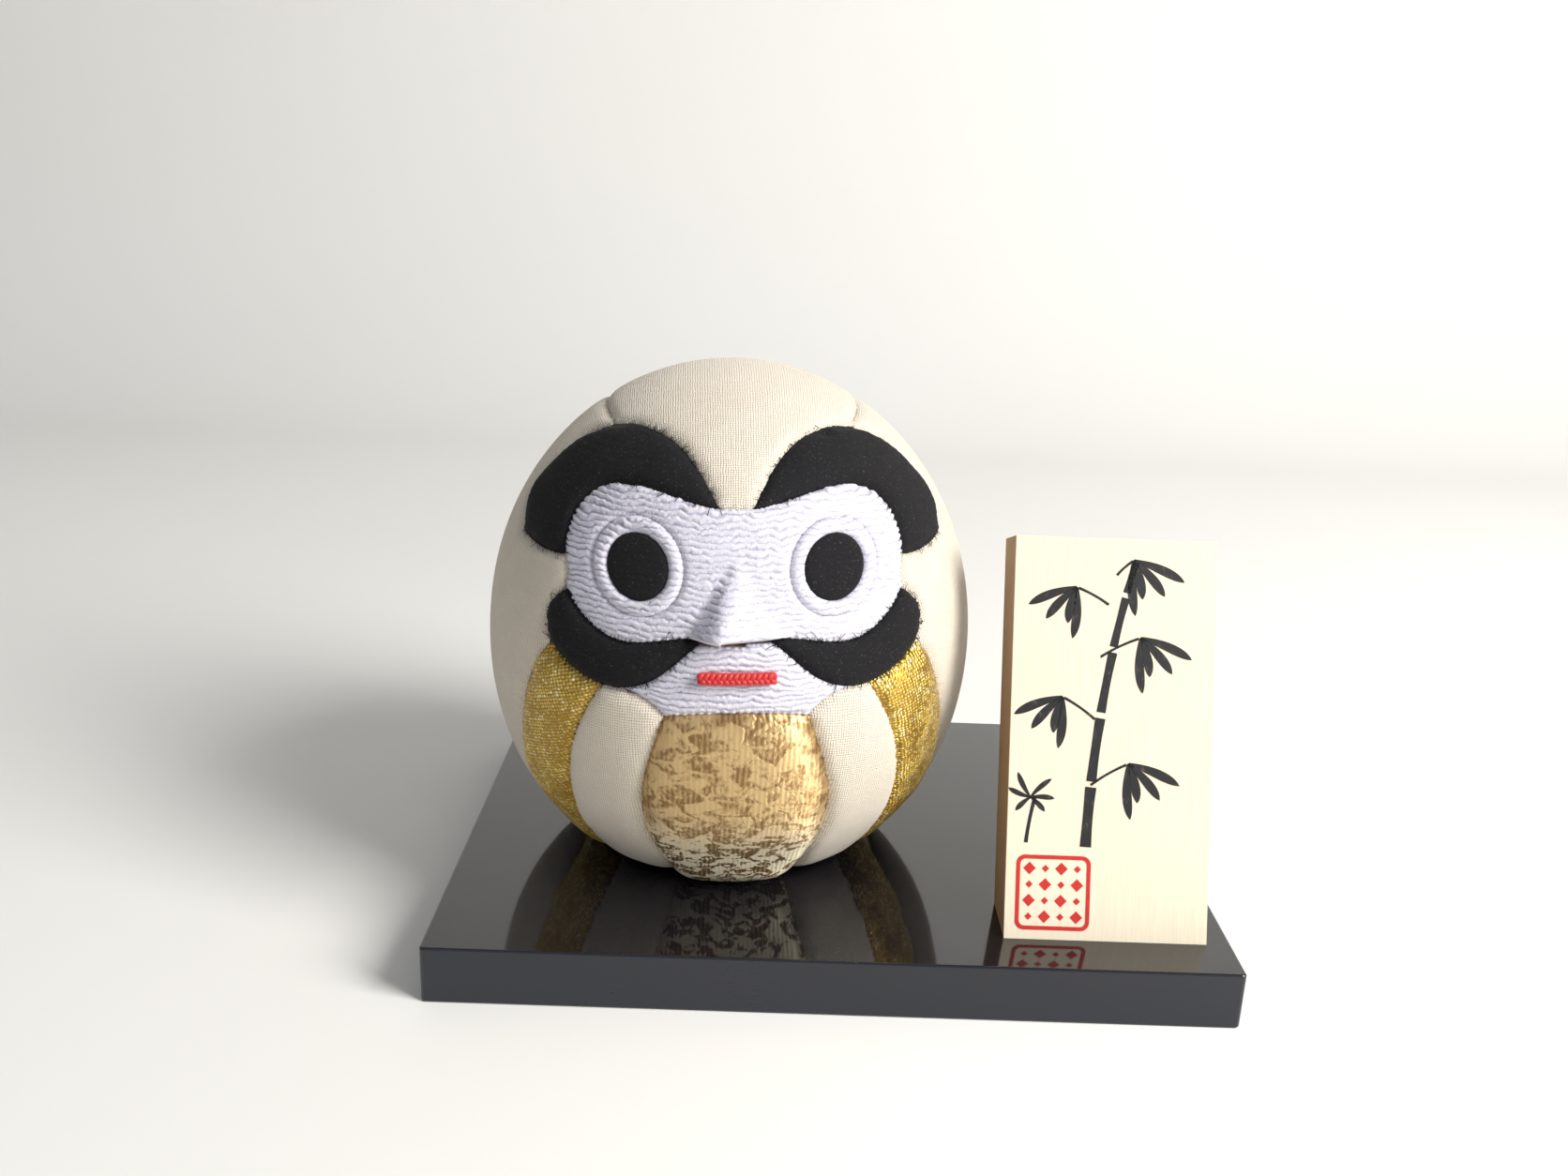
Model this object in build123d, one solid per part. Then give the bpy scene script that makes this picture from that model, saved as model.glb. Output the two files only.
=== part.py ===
from build123d import *
import os
from math import cos, sin, pi, radians

os.makedirs("parts", exist_ok=True)

# Kimekomi daruma doll on a lacquered display board, with a leaning wooden plaque.
# Millimetres, +Z up. The origin is the middle of the board's underside. The doll faces -Y.

# ---- display board ----
BOARD_WIDTH = 120.0
BOARD_DEPTH = 90.0
BOARD_THICKNESS = 9.0
BOARD_CORNER = 0.8
BOARD_ARRIS = 0.4

# ---- doll body ----
DOLL_X = -17.6
DOLL_Y = 0.0
FACE_YAW = 3.4            # the doll is turned this far towards the plaque
FACE_TILT = -1.2          # the hand-cut pattern sits slightly askew on the body
BODY_RADIUS = 39.0        # at the waist, over the fabric
WAIST_TO_CROWN = 43.0
WAIST_TO_FOOT = 36.1
LOWER_DEPTH = 40.2        # the lower half would close at this depth if it had no foot
LOWER_SQUARENESS = 2.3    # exponent of the lower half's curve, 2 for an ellipse
FOOT_COVER_THICKNESS = 0.6
FOOT_COVER_RADIUS = 18.4

# ---- padded fabric ----
PAD_THICKNESS = 1.8       # fabric and wadding over the core

# ---- face ----
EYE_X = 14.0
EYE_Z = 19.0
EYE_RADIUS = 6.5
PUPIL_RADIUS = 4.4
NOSE_TOP_Z = 23.8
NOSE_BASE_Z = 10.2
NOSE_LEFT_WIDTH = 7.2      # steep and narrow on the left of the tip
NOSE_RIGHT_WIDTH = 9.0     # broad and shallow on the right of it
NOSE_RISE = 4.0           # how far the tip stands out of the face
NOSE_TIP_LIFT = 0.9       # the underside slopes up to the tip
NOSE_SKEW = 0.8           # the bridge is a little off the middle
NOSE_TIP_SIDE = -2.8      # and so is the tip
NOSE_SINK = 0.2           # the wedge's corners are buried this deep
MOUTH_Z = 5.0
MOUTH_LENGTH = 10.9
MOUTH_CORD_DIAMETER = 1.9
CORD_CLEARANCE = 0.05     # a film of glue under the cord

# ---- plaque ----
PLAQUE_X = 40.9
PLAQUE_FRONT_Y = -37.0
PLAQUE_WIDTH = 30.5
PLAQUE_HEIGHT = 60.5
PLAQUE_THICKNESS = 9.5
PLAQUE_LEAN = 19.0
PLAQUE_SHEET = 0.5
PROP_WIDTH = 14.0
PROP_RISE = 30.0
PROP_DEPTH = 16.0

FRONT = 70.0              # reach of the cutting prisms, well clear of the body
BELOW_FOOT = -40.0        # height at which the lower outlines close, under the foot
CORE_FOOT = -(WAIST_TO_FOOT - FOOT_COVER_THICKNESS)


# ---------------------------------------------------------------- body shapes

def profile_points(shrink, steps=5):
    """Points down the body's profile, from the crown over the waist to the foot plane."""
    waist = BODY_RADIUS - shrink
    crown = WAIST_TO_CROWN - shrink
    depth = LOWER_DEPTH - shrink
    power = LOWER_SQUARENESS
    points = []
    for step in range(steps, 0, -1):
        turn = pi / 2 * step / steps
        points.append((waist * cos(turn), crown * sin(turn)))
    for step in range(steps):
        turn = pi / 2 * step / (steps + 1)
        points.append((waist * cos(turn) ** (2 / power), -depth * sin(turn) ** (2 / power)))
    foot_radius = waist * (1 - (-CORE_FOOT / depth) ** power) ** (1 / power)
    points.append((foot_radius, CORE_FOOT))
    return points


def body(shrink):
    """The doll's turned form: a half ellipse over a squarer bowl, cut flat at the foot."""
    points = profile_points(shrink)
    crown = points[0]
    foot_rim = points[-1]
    side = Spline(points, tangents=[(1, 0), (-1, -0.55)])
    base = Line(foot_rim, (0, CORE_FOOT))
    axis = Line((0, CORE_FOOT), crown)
    return revolve(loop(side, base, axis), Axis.Z, 360)


def radius_at(height):
    """The body's radius over the fabric, at a height between the waist and the crown."""
    return BODY_RADIUS * (1 - (height / WAIST_TO_CROWN) ** 2) ** 0.5


def nose_wedge(shrink):
    """A four-sided wedge standing out of the face, its ridge running down to the tip."""
    base_radius = radius_at(NOSE_BASE_Z)
    left_y = shrink + NOSE_SINK - (base_radius ** 2 - NOSE_LEFT_WIDTH ** 2) ** 0.5
    right_y = shrink + NOSE_SINK - (base_radius ** 2 - NOSE_RIGHT_WIDTH ** 2) ** 0.5
    apex = Vector(NOSE_SKEW, shrink + NOSE_SINK - radius_at(NOSE_TOP_Z), NOSE_TOP_Z)
    left = Vector(-NOSE_LEFT_WIDTH, left_y, NOSE_BASE_Z)
    right = Vector(NOSE_RIGHT_WIDTH, right_y, NOSE_BASE_Z)
    tip = Vector(NOSE_TIP_SIDE, shrink - base_radius - NOSE_RISE, NOSE_BASE_Z + NOSE_TIP_LIFT)
    corners = [apex, left, right, tip]
    faces = []
    for skipped in range(4):
        kept = [corner for index, corner in enumerate(corners) if index != skipped]
        faces.append(Face(Wire.make_polygon(kept, close=True)))
    return Solid(Shell(faces))


# ---------------------------------------------------------------- cutting outlines
# Outlines are drawn looking at the face: x to the right, height above the waist upwards.

def loop(*lines):
    edges = [edge for line in lines for edge in line.edges()]
    return Plane.XZ * make_face(Wire(edges))


def brow_outline():
    outer = Spline((2.4, 27.0), (4.4, 30.3), (7.8, 34.2), (13.2, 36.1), (20.6, 34.6),
                   (27.7, 29.0), (31.6, 22.9), (32.0, 19.3))
    end = Spline((32.0, 19.3), (28.6, 18.6), (24.6, 18.9))
    inner = Spline((24.6, 18.9), (23.7, 23.4), (20.8, 27.3), (16.0, 29.1),
                   (8.4, 28.1), (2.4, 27.0))
    return loop(outer, end, inner)


def moustache_outline():
    upper = Spline((4.4, 10.1), (11.8, 9.3), (17.4, 9.0), (21.6, 11.2), (24.4, 14.4))
    lower = Spline((24.4, 14.4), (27.2, 11.4), (27.4, 7.0), (23.2, 3.3), (17.8, 1.9),
                   (13.0, 3.1), (8.5, 6.5), (4.4, 10.1))
    return loop(upper, lower)


def mask_outline():
    top = Line((-2.4, 27.0), (2.4, 27.0))
    under_tip = Line((2.4, 27.0), (5.6, 29.2))
    right = Spline((5.6, 29.2), (9.5, 31.2), (16.0, 32.2), (23.0, 29.5), (26.0, 24.0),
                   (24.7, 18.9), (24.2, 16.6), (24.5, 14.4), (24.6, 9.0), (19.0, 6.0),
                   (11.0, 7.2), (4.4, 10.1))
    bottom = Line((4.4, 10.1), (-4.4, 10.1))
    return loop(top, under_tip, right, bottom, right.mirror(Plane.YZ),
                under_tip.mirror(Plane.YZ))


def mouth_outline():
    top = Line((-4.4, 10.1), (4.4, 10.1))
    side = Polyline((4.4, 10.1), (8.0, 8.4), (16.0, 5.4), (17.8, 2.0))
    jaw = Spline((17.8, 2.0), (13.0, 0.9), (10.3, -1.4))
    chin = ThreePointArc((10.3, -1.4), (0, -0.5), (-10.3, -1.4))
    return loop(top, side, jaw, chin, jaw.mirror(Plane.YZ), side.mirror(Plane.YZ))


def belly_outline():
    top = Line((-10.0, 0.0), (10.0, 0.0))
    side = Spline((10.0, 0.0), (11.4, -4.6), (13.6, -13.0), (13.8, -19.5),
                  (11.6, -27.5), (7.0, BELOW_FOOT))
    bottom = Line((7.0, BELOW_FOOT), (-7.0, BELOW_FOOT))
    return loop(top, side, bottom, side.mirror(Plane.YZ))


def lobe_outline():
    top = Line((0, 5.0), (17.8, 4.4))
    seam = Spline((17.8, 4.4), (22.4, -3.6), (24.7, -11.0), (24.9, -18.0),
                  (23.4, -25.0), (20.6, -31.0), (13.4, BELOW_FOOT))
    return loop(top, seam, Line((13.4, BELOW_FOOT), (0, BELOW_FOOT)),
                Line((0, BELOW_FOOT), (0, 5.0)))


def band_outline():
    top = Line((0, 8.0), (25.6, 8.0))
    seam = Spline((25.6, 8.0), (30.6, 0.0), (32.4, -8.6), (32.5, -15.0),
                  (31.2, -21.5), (27.6, -29.0), (16.0, BELOW_FOOT))
    return loop(top, seam, Line((16.0, BELOW_FOOT), (0, BELOW_FOOT)),
                Line((0, BELOW_FOOT), (0, 8.0)))


def crown_outline():
    seam = Spline((18.2, 36.0), (19.9, 28.0), (20.2, 18.0), (18.6, 0.0),
                  (15.4, -20.0), (10.6, BELOW_FOOT))
    shoulder = Line((18.2, 36.0), (20.6, 37.4))
    top_side = Line((20.6, 37.4), (20.6, FRONT))
    base = Line((10.6, BELOW_FOOT), (-10.6, BELOW_FOOT))
    top = Line((20.6, FRONT), (-20.6, FRONT))
    return loop(seam, base, seam.mirror(Plane.YZ), shoulder.mirror(Plane.YZ),
                top_side.mirror(Plane.YZ), top, top_side, shoulder)


def disc_outline(radius):
    return Plane.XZ * Pos(EYE_X, EYE_Z) * Circle(radius)


# ---------------------------------------------------------------- patches

def patch_list():
    """Every fabric patch as (name, outline, runs right through), the tucked-over ones first."""
    right_side = [
        ("pupil", disc_outline(PUPIL_RADIUS)),
        ("eye_ring", disc_outline(EYE_RADIUS)),
        ("brow", brow_outline()),
        ("moustache", moustache_outline()),
    ]
    lower_side = [
        ("lobe", lobe_outline()),
        ("gold_band", band_outline()),
    ]
    patches = []
    for name, face in right_side:
        patches.append((name + "_right", face, False))
        patches.append((name + "_left", mirror(face, Plane.YZ), False))
    patches.append(("mask_panel", mask_outline(), False))
    patches.append(("mouth_panel", mouth_outline(), False))
    patches.append(("belly_panel", belly_outline(), False))
    for name, face in lower_side:
        patches.append((name + "_right", face, False))
        patches.append((name + "_left", mirror(face, Plane.YZ), False))
    patches.append(("crown_panel", crown_outline(), True))
    return patches


def prism(face, through):
    solid = extrude(face, FRONT, dir=(0, -1, 0), both=through)
    return Rot(0, FACE_TILT, 0) * solid


def core_body():
    """What lies under the cloth: the turned body with the nose carved on it."""
    return body(PAD_THICKNESS) + Rot(0, FACE_TILT, 0) * nose_wedge(PAD_THICKNESS)


def covering_parts(patches):
    """Cut the covering into its patches: each one takes what the patches before it left."""
    covering = body(0) + Rot(0, FACE_TILT, 0) * nose_wedge(0) - core_body()
    parts = {}
    for name, face, through in patches:
        tool = prism(face, through)
        parts[name] = covering & tool
        covering = covering - tool
    left, right = covering.solids().sort_by(Axis.X)
    parts["side_panel_left"] = left
    parts["side_panel_right"] = right
    return parts


def doll_parts():
    """The core and its fabric patches, in the doll's own frame: the waist at Z=0."""
    parts = covering_parts(patch_list())
    parts["core"] = core_body()
    parts["foot_cover"] = foot_cover()
    parts["mouth_cord"] = Rot(0, FACE_TILT, 0) * mouth_cord()
    return parts


def foot_cover():
    disc = Cylinder(FOOT_COVER_RADIUS, FOOT_COVER_THICKNESS)
    return Pos(0, 0, CORE_FOOT - FOOT_COVER_THICKNESS / 2) * disc


def mouth_cord():
    """A short length of braided cord with rounded ends, glued along the curve of the face."""
    bend = radius_at(MOUTH_Z) + MOUTH_CORD_DIAMETER / 2 + CORD_CLEARANCE
    half_angle = MOUTH_LENGTH / 2 / bend
    left = (-bend * sin(half_angle), -bend * cos(half_angle), MOUTH_Z)
    right = (bend * sin(half_angle), -bend * cos(half_angle), MOUTH_Z)
    run = ThreePointArc(left, (0, -bend, MOUTH_Z), right)
    section = Plane(origin=left, z_dir=run % 0) * Circle(MOUTH_CORD_DIAMETER / 2)
    cord = sweep(section, path=run)
    for end in (left, right):
        cord = cord + Pos(*end) * Sphere(MOUTH_CORD_DIAMETER / 2)
    return cord


# ---------------------------------------------------------------- board and plaque

def display_board():
    slab = extrude(RectangleRounded(BOARD_WIDTH, BOARD_DEPTH, BOARD_CORNER), BOARD_THICKNESS)
    rims = slab.faces().sort_by(Axis.Z)[-1].edges() + slab.faces().sort_by(Axis.Z)[0].edges()
    return fillet(rims, BOARD_ARRIS)


def leaning(part):
    """Tip a piece drawn upright against the plane Y=0 back, and set it on the board."""
    return Pos(PLAQUE_X, PLAQUE_FRONT_Y, BOARD_THICKNESS) * Rot(-PLAQUE_LEAN, 0, 0) * part


def above_board():
    return Pos(PLAQUE_X, 0, BOARD_THICKNESS + FRONT) * Box(FRONT, 2 * FRONT, 2 * FRONT)


def plaque_slab(front, back):
    """A slab between two depths, long enough to be cut off level at the board."""
    skirt = 10.0
    height = PLAQUE_HEIGHT + skirt
    slab = Pos(0, (front + back) / 2, height / 2 - skirt) * Box(PLAQUE_WIDTH, back - front, height)
    return leaning(slab) & above_board()


def plaque_prop():
    """A wedge glued behind the plaque, whose foot stands on the board."""
    lean = radians(PLAQUE_LEAN)
    back_y = PLAQUE_FRONT_Y + PLAQUE_THICKNESS / cos(lean)
    top_y = back_y + PROP_RISE * sin(lean) / cos(lean)
    corners = [
        (back_y, BOARD_THICKNESS),
        (back_y + PROP_DEPTH, BOARD_THICKNESS),
        (top_y, BOARD_THICKNESS + PROP_RISE),
    ]
    side = Plane.YZ * make_face(Polyline(*corners, close=True))
    return Pos(PLAQUE_X - PROP_WIDTH / 2, 0, 0) * extrude(side, PROP_WIDTH, dir=(1, 0, 0))


def plaque_parts():
    return {
        "plaque_face": plaque_slab(0, PLAQUE_SHEET),
        "plaque_block": plaque_slab(PLAQUE_SHEET, PLAQUE_THICKNESS),
        "plaque_prop": plaque_prop(),
    }


# ---------------------------------------------------------------- assembly

def main():
    stand = Pos(DOLL_X, DOLL_Y, BOARD_THICKNESS + WAIST_TO_FOOT) * Rot(0, 0, FACE_YAW)
    parts = {name: stand * part for name, part in doll_parts().items()}
    parts["display_board"] = display_board()
    parts.update(plaque_parts())
    for name, part in parts.items():
        export_step(part, "parts/" + name + ".step")


main()
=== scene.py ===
import math

import bmesh
import bpy
import numpy as np
from mathutils import Matrix, Vector, noise
from mathutils.bvhtree import BVHTree
from mathutils.geometry import delaunay_2d_cdt
from mathutils.kdtree import KDTree


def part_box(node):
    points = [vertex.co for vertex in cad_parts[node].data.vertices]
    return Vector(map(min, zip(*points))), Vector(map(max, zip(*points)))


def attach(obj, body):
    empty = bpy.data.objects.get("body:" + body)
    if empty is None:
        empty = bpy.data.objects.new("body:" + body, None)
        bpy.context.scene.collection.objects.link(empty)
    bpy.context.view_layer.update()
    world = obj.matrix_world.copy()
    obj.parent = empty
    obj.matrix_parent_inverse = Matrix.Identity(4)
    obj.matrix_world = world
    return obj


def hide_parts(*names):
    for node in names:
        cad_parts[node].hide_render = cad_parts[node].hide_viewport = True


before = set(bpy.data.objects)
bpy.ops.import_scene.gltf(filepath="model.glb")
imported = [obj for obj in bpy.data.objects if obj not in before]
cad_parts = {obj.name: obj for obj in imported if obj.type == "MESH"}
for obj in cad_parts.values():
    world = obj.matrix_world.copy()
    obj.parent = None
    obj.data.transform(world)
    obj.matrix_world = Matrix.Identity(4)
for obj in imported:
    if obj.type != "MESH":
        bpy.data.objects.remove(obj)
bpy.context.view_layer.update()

MM = 0.001

# ---- where things are, from the CAD ----
FOOT_LOW, FOOT_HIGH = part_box("foot_cover")
BOARD_LOW, BOARD_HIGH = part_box("display_board")
FACE_LOW, FACE_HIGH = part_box("plaque_face")
FACE_YAW = math.radians(3.4)
FACE_TILT = math.radians(-1.2)
WAIST_HEIGHT = 36.1 * MM                  # above the board
WAIST = Vector(((FOOT_LOW.x + FOOT_HIGH.x) / 2, (FOOT_LOW.y + FOOT_HIGH.y) / 2,
                BOARD_HIGH.z + WAIST_HEIGHT))
BODY_RADIUS = 39.0                        # mm, used to give the charts their scale

# ---- camera ----
CAMERA_PLACE = Vector((-11.5, -221.8, 122.0)) * MM
CAMERA_YAW = math.radians(0.67)
CAMERA_PITCH = math.radians(17.76)
CAMERA_ROLL = math.radians(2.28)
CAMERA_LENS = 32.3

# ---- padding ----
CLOTH_DEPTH = 1.2         # mm over the core: what lies deeper isn't the outside of a patch
NOSE_CLOTH_DEPTH = 0.5    # the cloth is thinner where it is stretched over the nose
OUTWARD_LEAST = 0.25      # how far a triangle has to face outwards to be on the outside
OUTLINE_CORNER = math.radians(30)
SEAM_CLEARANCE = 0.62     # of a patch's spacing: how near its border inner points may lie
SLIVER_AREA = 1e-5
BACK_DEPTH = 1.7          # mm from a patch's outside to its hidden back
NORMAL_ROUNDS = 4         # how often directions are averaged with their neighbours'
RISE_ROUNDS = 3
MASK_ROUNDS = 2           # how far the mask's cloth eases over the edges of the nose
SIM_SCALE = 16.0          # the cloth solver works on a doll this many times larger
SIM_FRAMES = 20
SIM_PRESSURE = 4.0
SIM_QUALITY = 4
HIGH_PART = 95            # percentile of the rise that counts as the pad's high part
RISE_SPARE = 1.1          # no point rises more than this times the swell
RIDGE_LEAST = 0.25        # how much of its ridges the cloth keeps at a seam

# ---- patches ----
# node, cloth, and in mm: spacing, swell, tuck at the seams, its width, and the place in the
# doll's frame that the patch is flattened from
MIDDLE_PATCHES = (
    ("crown_panel", "silk", 1.1, 0.35, 1.1, 1.8, None),
    ("belly_panel", "brocade", 0.9, 1.5, 1.0, 1.8, (0, 8, -12)),
    ("mask_panel", "white", 0.5, 0.15, 0.7, 1.0, (0, 25, 17)),
    ("mouth_panel", "white", 0.5, 0.25, 0.7, 1.0, (0, 20, 4)),
)
PAIRED_PATCHES = (
    ("side_panel_", "silk", 1.1, 0.3, 1.1, 1.8, (0, 0, 0)),
    ("lobe_", "silk", 0.9, 0.7, 1.1, 1.8, (0, 8, -12)),
    ("gold_band_", "lame", 0.8, 0.9, 1.1, 1.7, (0, 8, -10)),
    ("brow_", "black", 0.7, 1.0, 0.9, 1.5, (0, 10, 20)),
    ("moustache_", "black", 0.6, 0.8, 0.8, 1.3, (0, 20, 6)),
    ("eye_ring_", "white", 0.4, 0.25, 0.55, 0.9, (0, 25, 19)),
    ("pupil_", "black", 0.4, 0.15, 0.45, 0.7, (0, 25, 19)),
)
FRAYED = ("brow_", "moustache_")
FRAY_COUNT = 130
FRAY_LONGEST = 1.9        # mm
FRAY_RADII = (0.045, 0.045, 0.04, 0.035, 0.015)
FRAY_SIDES = 4

# ---- mouth cord, in mm ----
CORD_LENGTH = 10.9
CORD_BEND = BODY_RADIUS + 0.7
STRAND_RADIUS = 0.46
STRAND_SWING = 0.50       # up and down
STRAND_WEAVE = 0.24       # in and out
PLAITS = 4.5
STRAND_STEPS = 120
STRAND_SIDES = 10

# ---- plaque painting, in mm from the middle of the plaque's foot ----
INK_PROUD = 0.05
INK_ROOT = -0.05
STROKE_STEPS = 18
STROKE_LEAST = 0.03       # half the narrowest a stroke gets
STALK_FOOT = (-3.4, 14.0)
STALK_WIDTH = 1.5
STALK_JOINTS = (9.0, 9.6, 9.2, 7.6, 4.6)
STALK_GAP = 0.35
# where each twig leaves the stalk, its heading in degrees and its length
TWIGS = (((-2.9, 23.3), 38, 6.2), ((-2.6, 33.2), 140, 5.6), ((-2.0, 42.6), 34, 6.4),
         ((-1.0, 50.5), 146, 5.2), ((0.1, 55.0), 50, 3.2))
TWIG_WIDTH = 0.36
RIGHT_LEAVES = (-12, -38, -66, -96)
LEFT_LEAVES = (-168, -142, -112, -84)
SHOOT_LEAVES = (52, 8, -34, 128, 168, -146)
SEAL_MIDDLE = (-8.1, 7.0)
SEAL_HALF = 5.6
SEAL_BORDER = 0.6
SEAL_STEP = 2.4
SEAL_DIAMONDS = 4         # each way

# ---- stage, in metres ----
STAGE_HALF = 1.6
STAGE_BACK = 0.34         # where the floor starts to sweep up
STAGE_BEND = 0.12
STAGE_HEIGHT = 1.4
BEND_STEPS = 12
LAMP_AIM = Vector((0, 0, 0.04))
BRIGHT_SIDE = Vector((0.75, -0.35, 0.55)).normalized()


# ---- frames ----

def doll_matrix():
    """From the doll's own frame in mm, waist at 0, facing -Y, to the row frame in metres."""
    return Matrix.Translation(WAIST) @ Matrix.Rotation(FACE_YAW, 4, "Z") @ Matrix.Scale(MM, 4)


TO_WORLD = np.array(doll_matrix())
TO_DOLL = np.array(doll_matrix().inverted())


def moved(points, matrix):
    return points @ matrix[:3, :3].T + matrix[:3, 3]


def unit(vectors):
    return vectors / np.maximum(np.linalg.norm(vectors, axis=-1, keepdims=True), 1e-12)


# ---- patches: the CAD surface ----

def triangles_of(node):
    """A CAD node's points in the doll's frame, and its triangles, welded into one closed mesh."""
    bm = bmesh.new()
    bm.from_mesh(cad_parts[node].data)
    bmesh.ops.remove_doubles(bm, verts=bm.verts, dist=1e-6)
    bmesh.ops.triangulate(bm, faces=bm.faces)
    bm.verts.index_update()
    points = np.array([v.co for v in bm.verts], float)
    triangles = np.array([[v.index for v in f.verts] for f in bm.faces])
    bm.free()
    return moved(points, TO_DOLL), triangles


def surface_tree(points, triangles):
    return BVHTree.FromPolygons([Vector(p) for p in points], triangles.tolist())


def face_normals(points, triangles):
    a, b, c = (points[triangles[:, k]] for k in range(3))
    return np.cross(b - a, c - a)


def outer_sheet(node, core_tree):
    """The triangles on the outside of a patch: those that stand well clear of the core."""
    points, triangles = triangles_of(node)
    least = NOSE_CLOTH_DEPTH if node == "mask_panel" else CLOTH_DEPTH
    depth = np.array([core_tree.find_nearest(Vector(p))[3] for p in points])
    normals = unit(face_normals(points, triangles))
    outwards = unit(points[triangles].mean(1))
    facing = (normals * outwards).sum(1) > OUTWARD_LEAST
    return points, triangles[(depth[triangles] > least).all(1) & facing]


def border_loops(triangles):
    """The closed loops of vertices round a sheet's border."""
    edges = dict.fromkeys((int(tri[k]), int(tri[(k + 1) % 3])) for tri in triangles
                          for k in range(3))
    following = {}
    for a, b in edges:
        if (b, a) not in edges:
            following.setdefault(a, []).append(b)
    loops = []
    while following:
        start = next(iter(following))
        loop, here = [], start
        while here in following:
            loop.append(here)
            onward = following[here].pop()
            if not following[here]:
                del following[here]
            here = onward
            if here == start:
                break
        if len(loop) > 5:
            loops.append(loop)
    return loops


# ---- patches: charts ----

class PolarChart:
    """Flattens a patch round its own middle: millimetres from the middle along the surface."""

    def __init__(self, points, centre):
        self.centre = np.array(centre, float)
        self.axis = unit(unit(points - self.centre).mean(0))
        self.side = unit(np.cross(self.axis, (0, 0, 1)))
        self.up = np.cross(self.side, self.axis)
        self.scale = np.linalg.norm(points - self.centre, axis=1).mean()

    def flat(self, points):
        ray = unit(points - self.centre)
        along = ray @ self.axis
        across = np.sqrt(np.maximum(1 - along ** 2, 1e-12))
        stretch = self.scale * np.arctan2(across, along) / across
        return np.stack([stretch * (ray @ self.side), stretch * (ray @ self.up)], 1)

    def rays(self, flat):
        reach = np.linalg.norm(flat, axis=1)
        angle = reach / self.scale
        heading = flat / np.maximum(reach, 1e-9)[:, None]
        tangent = heading[:, :1] * self.side + heading[:, 1:] * self.up
        return np.cos(angle)[:, None] * self.axis + np.sin(angle)[:, None] * tangent


class StripChart:
    """Flattens the strip over the crown: x is its width, and y runs from the face to the back."""

    def __init__(self):
        self.centre = np.zeros(3)
        self.scale = BODY_RADIUS

    def flat(self, points):
        ray = unit(points - self.centre)
        width = np.arctan2(ray[:, 0], np.hypot(ray[:, 1], ray[:, 2]))
        run = np.arctan2(ray[:, 2], -ray[:, 1])
        run = np.where(run < -math.pi / 2, run + 2 * math.pi, run)
        return np.stack([width, run], 1) * self.scale

    def rays(self, flat):
        width, run = (flat / self.scale).T
        return np.stack([np.sin(width), -np.cos(width) * np.cos(run),
                         np.cos(width) * np.sin(run)], 1)


def resampled(outline, places, spacing):
    """A closed outline in 2D with its places in 3D, in even steps between its corners."""
    ahead = unit(np.roll(outline, -1, 0) - outline)
    behind = unit(outline - np.roll(outline, 1, 0))
    turn = np.abs(np.arctan2(np.cross(behind, ahead), (behind * ahead).sum(1)))
    corners = np.flatnonzero(turn > OUTLINE_CORNER)
    if len(corners) == 0:
        corners = np.array([0])
    steps = []
    both = np.column_stack([outline, places])
    for first, last in zip(corners, np.roll(corners, -1)):
        last = last if last > first else last + len(outline)
        run = both[np.arange(first, last + 1) % len(outline)]
        gaps = np.linalg.norm(np.diff(run[:, 2:], axis=0), axis=1)
        length = np.concatenate([[0], gaps.cumsum()])
        count = max(1, round(length[-1] / spacing))
        at = np.linspace(0, length[-1], count + 1)[:-1]
        steps.append(np.stack([np.interp(at, length, column) for column in run.T], 1))
    even = np.concatenate(steps)
    return even[:, :2], even[:, 2:]


def inside(points, outlines):
    """Even-odd test of 2D points against closed outlines."""
    crossings = np.zeros(len(points), int)
    for outline in outlines:
        for (x0, y0), (x1, y1) in zip(outline, np.roll(outline, -1, 0)):
            spans = (points[:, 1] < y0) != (points[:, 1] < y1)
            if not spans.any():
                continue
            x = x0 + (points[spans, 1] - y0) / (y1 - y0) * (x1 - x0)
            crossings[spans] += points[spans, 0] < x
    return crossings % 2 == 1


def tree_of(points):
    tree = KDTree(len(points))
    for index, point in enumerate(points):
        tree.insert(tuple(point) + (0,) * (3 - len(point)), index)
    tree.balance()
    return tree


def nearest_distance(points, targets):
    tree = tree_of(targets)
    flat = np.column_stack([points, np.zeros((len(points), 3 - points.shape[1]))])
    return np.array([tree.find(point)[2] for point in flat])


def even_triangles(outlines, spacing):
    """Even triangles that fill the outlines: their 2D points, and three indices for each."""
    border = np.concatenate(outlines)
    low, high = border.min(0), border.max(0)
    rows = np.arange(low[1], high[1], spacing * math.sqrt(3) / 2)
    columns = np.arange(low[0], high[0], spacing)
    grid = np.array([(x + (spacing / 2 if row % 2 else 0), y)
                     for row, y in enumerate(rows) for x in columns])
    grid = grid[inside(grid, outlines)]
    grid = grid[nearest_distance(grid, border) > spacing * SEAM_CLEARANCE]
    edges, start = [], 0
    for outline in outlines:
        count = len(outline)
        edges += [(start + k, start + (k + 1) % count) for k in range(count)]
        start += count
    every = np.concatenate([border, grid])
    points, _, faces, *_ = delaunay_2d_cdt([Vector(p) for p in every], edges, [], 0, 1e-4)
    points = np.array([tuple(p) for p in points])
    faces = np.array([list(f) for f in faces])
    faces = faces[inside(points[faces].mean(1), outlines)]
    a, b, c = (points[faces[:, k]] for k in range(3))
    faces = faces[np.abs(np.cross(b - a, c - a)) > SLIVER_AREA]
    return points, faces


# ---- patches: from chart to pad ----

class Patch:
    """One padded cloth patch, built over the outside of its CAD node."""

    def __init__(self, *facts):
        (self.node, self.look, self.spacing, self.swell, self.tuck, self.shoulder,
         self.centre) = facts


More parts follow.
